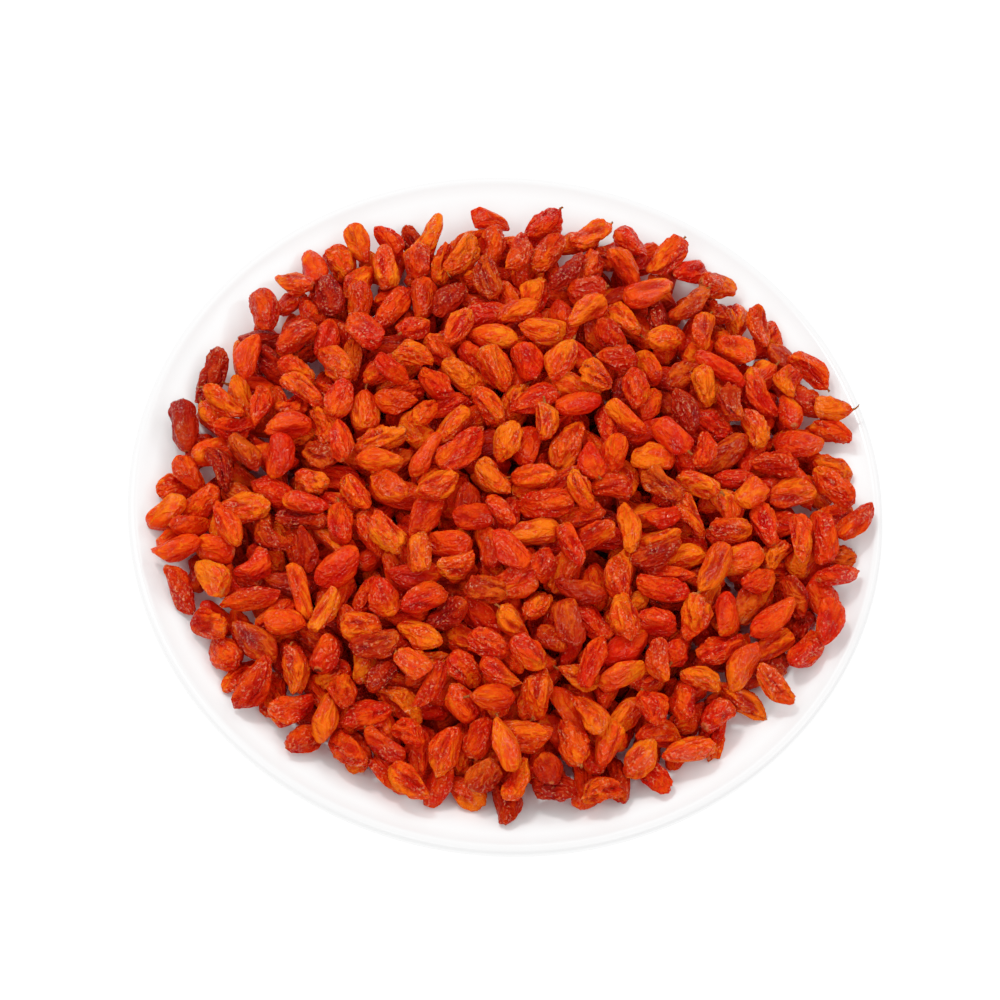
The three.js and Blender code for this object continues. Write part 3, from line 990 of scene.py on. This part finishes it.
def shape_berry(berry, grid):
    """One dried berry's points in its own frame, and what its skin needs to know at each of them."""
    random = np.random.default_rng((SEED, berry.index))
    kind = KINDS[random.choice(len(KINDS), p=[kind.share for kind in KINDS])]
    directions = grid.directions
    along = directions[:, 0]
    ring = np.hypot(directions[:, 1], directions[:, 2])
    around = np.arctan2(directions[:, 2], directions[:, 1])
    relief = fold_relief(random, kind, along, around) * np.minimum(ring * FOLD_FADE, 1)
    relief += dent_relief(random, kind, directions)
    relief += corner_relief(random, along, around, ring)
    shift = random.uniform(0, WRINKLE_REACH, 3)
    wrinkle = kind.wrinkle * random.uniform(*WRINKLE_SPREAD)
    relief += wrinkle_relief(wrinkle, directions, shift)
    relief += hollow_relief(random, kind, directions, 1 if berry.turn[2, 2] > 0 else -1)
    bluntness = np.interp(along, (-1, 1), random.uniform(*BLUNTNESS, 2))
    girth = ring**bluntness * (1 + random.uniform(-PEAR, PEAR) * along)
    waist = random.uniform(0, WAIST_DEPTH)
    girth *= 1 + waist * np.sin(random.uniform(*WAIST_WAVES) * along + random.uniform(0, MOST_PHASE))
    points = np.stack(
        [
            along * (1 + LENGTHWISE * relief),
            girth * np.cos(around) * (1 + relief),
            girth * np.sin(around) * (1 + relief),
        ],
        axis=1,
    )
    flatten(random, kind, points)
    bend(random, kind, points)
    near_stalk = np.exp(-(((1 + along) / SCAR_WIDTH) ** 2))
    points[:, 0] -= random.uniform(0, SCAR_HEIGHT) * near_stalk
    points -= (points.max(axis=0) + points.min(axis=0)) / 2
    points *= berry.halves * (1, random.uniform(LEAST_WIDE, 1), 1) / points.max(axis=0)
    marks = {
        "fold": np.clip(FOLD_TONE + FOLD_CONTRAST * (relief - relief.mean()), 0, 1),
        "scar": near_stalk * random.uniform(0, MOST_SCAR),
        "wrinkled": np.full(len(points), np.clip(wrinkle * WRINKLE_TONE, LEAST_WRINKLED, 1)),
    }
    return points, marks


def choose_look(berry):
    """The name of a berry's colour, its own shade in it, and how much that changes from tip to tip."""
    random = np.random.default_rng((SEED, berry.index, 1))
    names = list(LOOKS)
    name = names[random.choice(len(names), p=[LOOKS[name].share for name in names])]
    return name, random.uniform(0, 1), random.uniform(-SHADE_LEAN, SHADE_LEAN)


def grid_for(berry):
    """A finer grid for the berries that show more."""
    if berry.shows <= HIDDEN_SHOWS:
        return COARSE_GRID
    return FINE_GRID if berry.shows > HALF_SHOWS else MIDDLE_GRID


def triangles_of(grid):
    """The number of triangles that a grid's faces come to."""
    return int((grid.totals - 2).sum())


def add_berries(name, berries, material):
    """Berries of one colour as one piece, each with a square of its own on the piece's flat map."""
    across = math.ceil(math.sqrt(len(berries)))
    points, corners, totals, uvs = [], [], [], []
    marks = {"fold": [], "scar": [], "wrinkled": [], "shade": []}
    grains = []
    count = 0
    for i, berry in enumerate(berries):
        grid = grid_for(berry)
        shaped, skin = shape_berry(berry, grid)
        points.append(shaped @ berry.turn.T + berry.place - (0, 0, RESTING_GAP))
        corners.append(grid.corners + count)
        totals.append(grid.totals)
        corner = np.array((i % across, i // across))
        uvs.append((corner + MAP_MARGIN + grid.uvs * (1 - 2 * MAP_MARGIN)) / across)
        for mark, values in skin.items():
            marks[mark].append(values)
        _, shade, lean = choose_look(berry)
        marks["shade"].append(shade + lean * grid.directions[:, 0])
        grains.append(shaped + GRAIN_STEP * np.array((*corner, i)))
        count += len(shaped)
    piece = add_piece(
        name,
        np.concatenate(points),
        np.concatenate(corners),
        np.concatenate(totals),
        material,
        "dried_berry",
        "berry_heap",
    )
    layer = piece.data.uv_layers.new(name="OFBake")
    layer.data.foreach_set("uv", np.concatenate(uvs).astype(np.float32).ravel())
    for mark, values in marks.items():
        layer = piece.data.attributes.new(mark, "FLOAT", "POINT")
        layer.data.foreach_set("value", np.concatenate(values).astype(np.float32))
    layer = piece.data.attributes.new("grain", "FLOAT_VECTOR", "POINT")
    layer.data.foreach_set("vector", np.concatenate(grains).astype(np.float32).ravel())


def shape_stalk(random, tip):
    """The stub of a stalk that stands out of a berry's tip, thicker where it grew and where it broke."""
    share = (1 - STALK_GRID.directions[:, 0]) / 2
    flat = STALK_GRID.directions[:, 1:]
    ring = np.hypot(*flat.T)
    length = random.uniform(*STALK_LENGTH)
    swell = STALK_ROOT_SWELL * np.exp(-STALK_ROOT_FADE * share) + STALK_END_SWELL * share**4
    width = np.where(ring > NEAR_POLE, STALK_WIDTH / 2 * (1 + swell), 0)
    points = np.zeros((len(share), 3))
    points[:, 0] = STALK_ROOT - length * share
    points[:, 1:] = np.outer(share**2, random.normal(0, STALK_BEND, 2)) * length
    points[:, 1:] += flat * (width / np.maximum(ring, NEAR_POLE))[:, None]
    return tip + points


def add_stalks(berries, material):
    """Stubs of stalk on a few of the berries that show."""
    points, corners, totals = [], [], []
    count = 0
    for berry in berries:
        random = np.random.default_rng((SEED, berry.index, 2))
        if berry.shows <= HALF_SHOWS or random.uniform() > STALK_SHARE:
            continue
        shaped, _ = shape_berry(berry, grid_for(berry))
        stalk = shape_stalk(random, shaped[-1])
        points.append(stalk @ berry.turn.T + berry.place - (0, 0, RESTING_GAP))
        corners.append(STALK_GRID.corners + count)
        totals.append(STALK_GRID.totals)
        count += len(stalk)
    parts = [np.concatenate(part) for part in (points, corners, totals)]
    add_piece("stalk_stubs", *parts, material, "dried_berry", "berry_heap")


def add_heap(berries):
    """All berries, in pieces by their colour, each of about MOST_TRIANGLES or less."""
    for look_name, look in LOOKS.items():
        material = dried_skin(f"dried_skin_{look_name}", look)
        mine = [berry for berry in berries if choose_look(berry)[0] == look_name]
        total = sum(triangles_of(grid_for(berry)) for berry in mine)
        parts = math.ceil(total / MOST_TRIANGLES)
        for part in range(parts):
            add_berries(f"berries_{look_name}_{part + 1}", mine[part::parts], material)


# The floor, the lights and the camera


def add_floor():
    """A wide, flat floor under the bowl."""
    mesh = bpy.data.meshes.new("floor")
    corners = [(-1, -1), (1, -1), (1, 1), (-1, 1)]
    mesh.from_pydata([(x * FLOOR_REACH, y * FLOOR_REACH, 0) for x, y in corners], [], [(0, 1, 2, 3)])
    mesh.materials.append(floor_material())
    floor = bpy.data.objects.new("floor", mesh)
    bpy.context.scene.collection.objects.link(floor)


def add_light(name, place, size, power):
    """A round lamp that faces the frame's origin."""
    light = bpy.data.lights.new(name, "AREA")
    light.shape = "DISK"
    light.size = size
    light.energy = power
    lamp = bpy.data.objects.new(name, light)
    lamp.location = place
    lamp.rotation_euler = (-Vector(place)).to_track_quat("-Z", "Y").to_euler()
    bpy.context.scene.collection.objects.link(lamp)


def add_lights():
    """An even sky, a key lamp from the back left and a ring of lamps above the bowl."""
    world = bpy.data.worlds.new("studio")
    bpy.context.scene.world = world
    world.use_nodes = True
    background = world.node_tree.nodes["Background"]
    background.inputs["Color"].default_value = (1, 1, 1, 1)
    background.inputs["Strength"].default_value = SKY
    add_light("key", KEY_PLACE, KEY_SIZE, KEY_POWER)
    for i in range(RING_LAMPS):
        angle = 2 * math.pi * i / RING_LAMPS
        place = (RING_RADIUS * math.cos(angle), RING_RADIUS * math.sin(angle), RING_HEIGHT)
        add_light(f"ring_{i + 1}", place, RING_SIZE, RING_POWER)


def add_camera():
    """A camera at the photograph's angle, rolled a little."""
    back = Vector((0, -math.cos(CAMERA_ELEVATION), math.sin(CAMERA_ELEVATION)))
    level = Vector((1, 0, 0))
    upright = back.cross(level)
    right = math.cos(CAMERA_ROLL) * level + math.sin(CAMERA_ROLL) * upright
    up = math.cos(CAMERA_ROLL) * upright - math.sin(CAMERA_ROLL) * level
    turn = Matrix((right, up, back)).transposed()
    data = bpy.data.cameras.new("camera")
    data.lens = CAMERA_LENS
    data.clip_start = CAMERA_NEAR
    camera = bpy.data.objects.new("camera", data)
    camera.matrix_world = Matrix.Translation(CAMERA_AIM + back * CAMERA_DISTANCE) @ turn.to_4x4()
    bpy.context.scene.collection.objects.link(camera)
    bpy.context.scene.camera = camera


def set_tones():
    """Tones as a bright studio photograph has them: open, warm shadows and whites that roll off."""
    view = bpy.context.scene.view_settings
    view.view_transform = "Standard"
    view.use_curve_mapping = True
    view.curve_mapping.clip_max_x = BRIGHTEST
    red, green, blue, combined = view.curve_mapping.curves
    combined.points[-1].location = (BRIGHTEST, 1)
    pairs = ((combined, ALL_TONES), (red, RED_TONES), (green, GREEN_TONES), (blue, BLUE_TONES))
    for curve, places in pairs:
        for place in places:
            curve.points.new(*place)
    view.curve_mapping.update()


berries = drop_berries()
add_bowl(white_glaze())
add_heap(berries)
add_stalks(berries, dry_stalk())
add_floor()
add_lights()
add_camera()
set_tones()
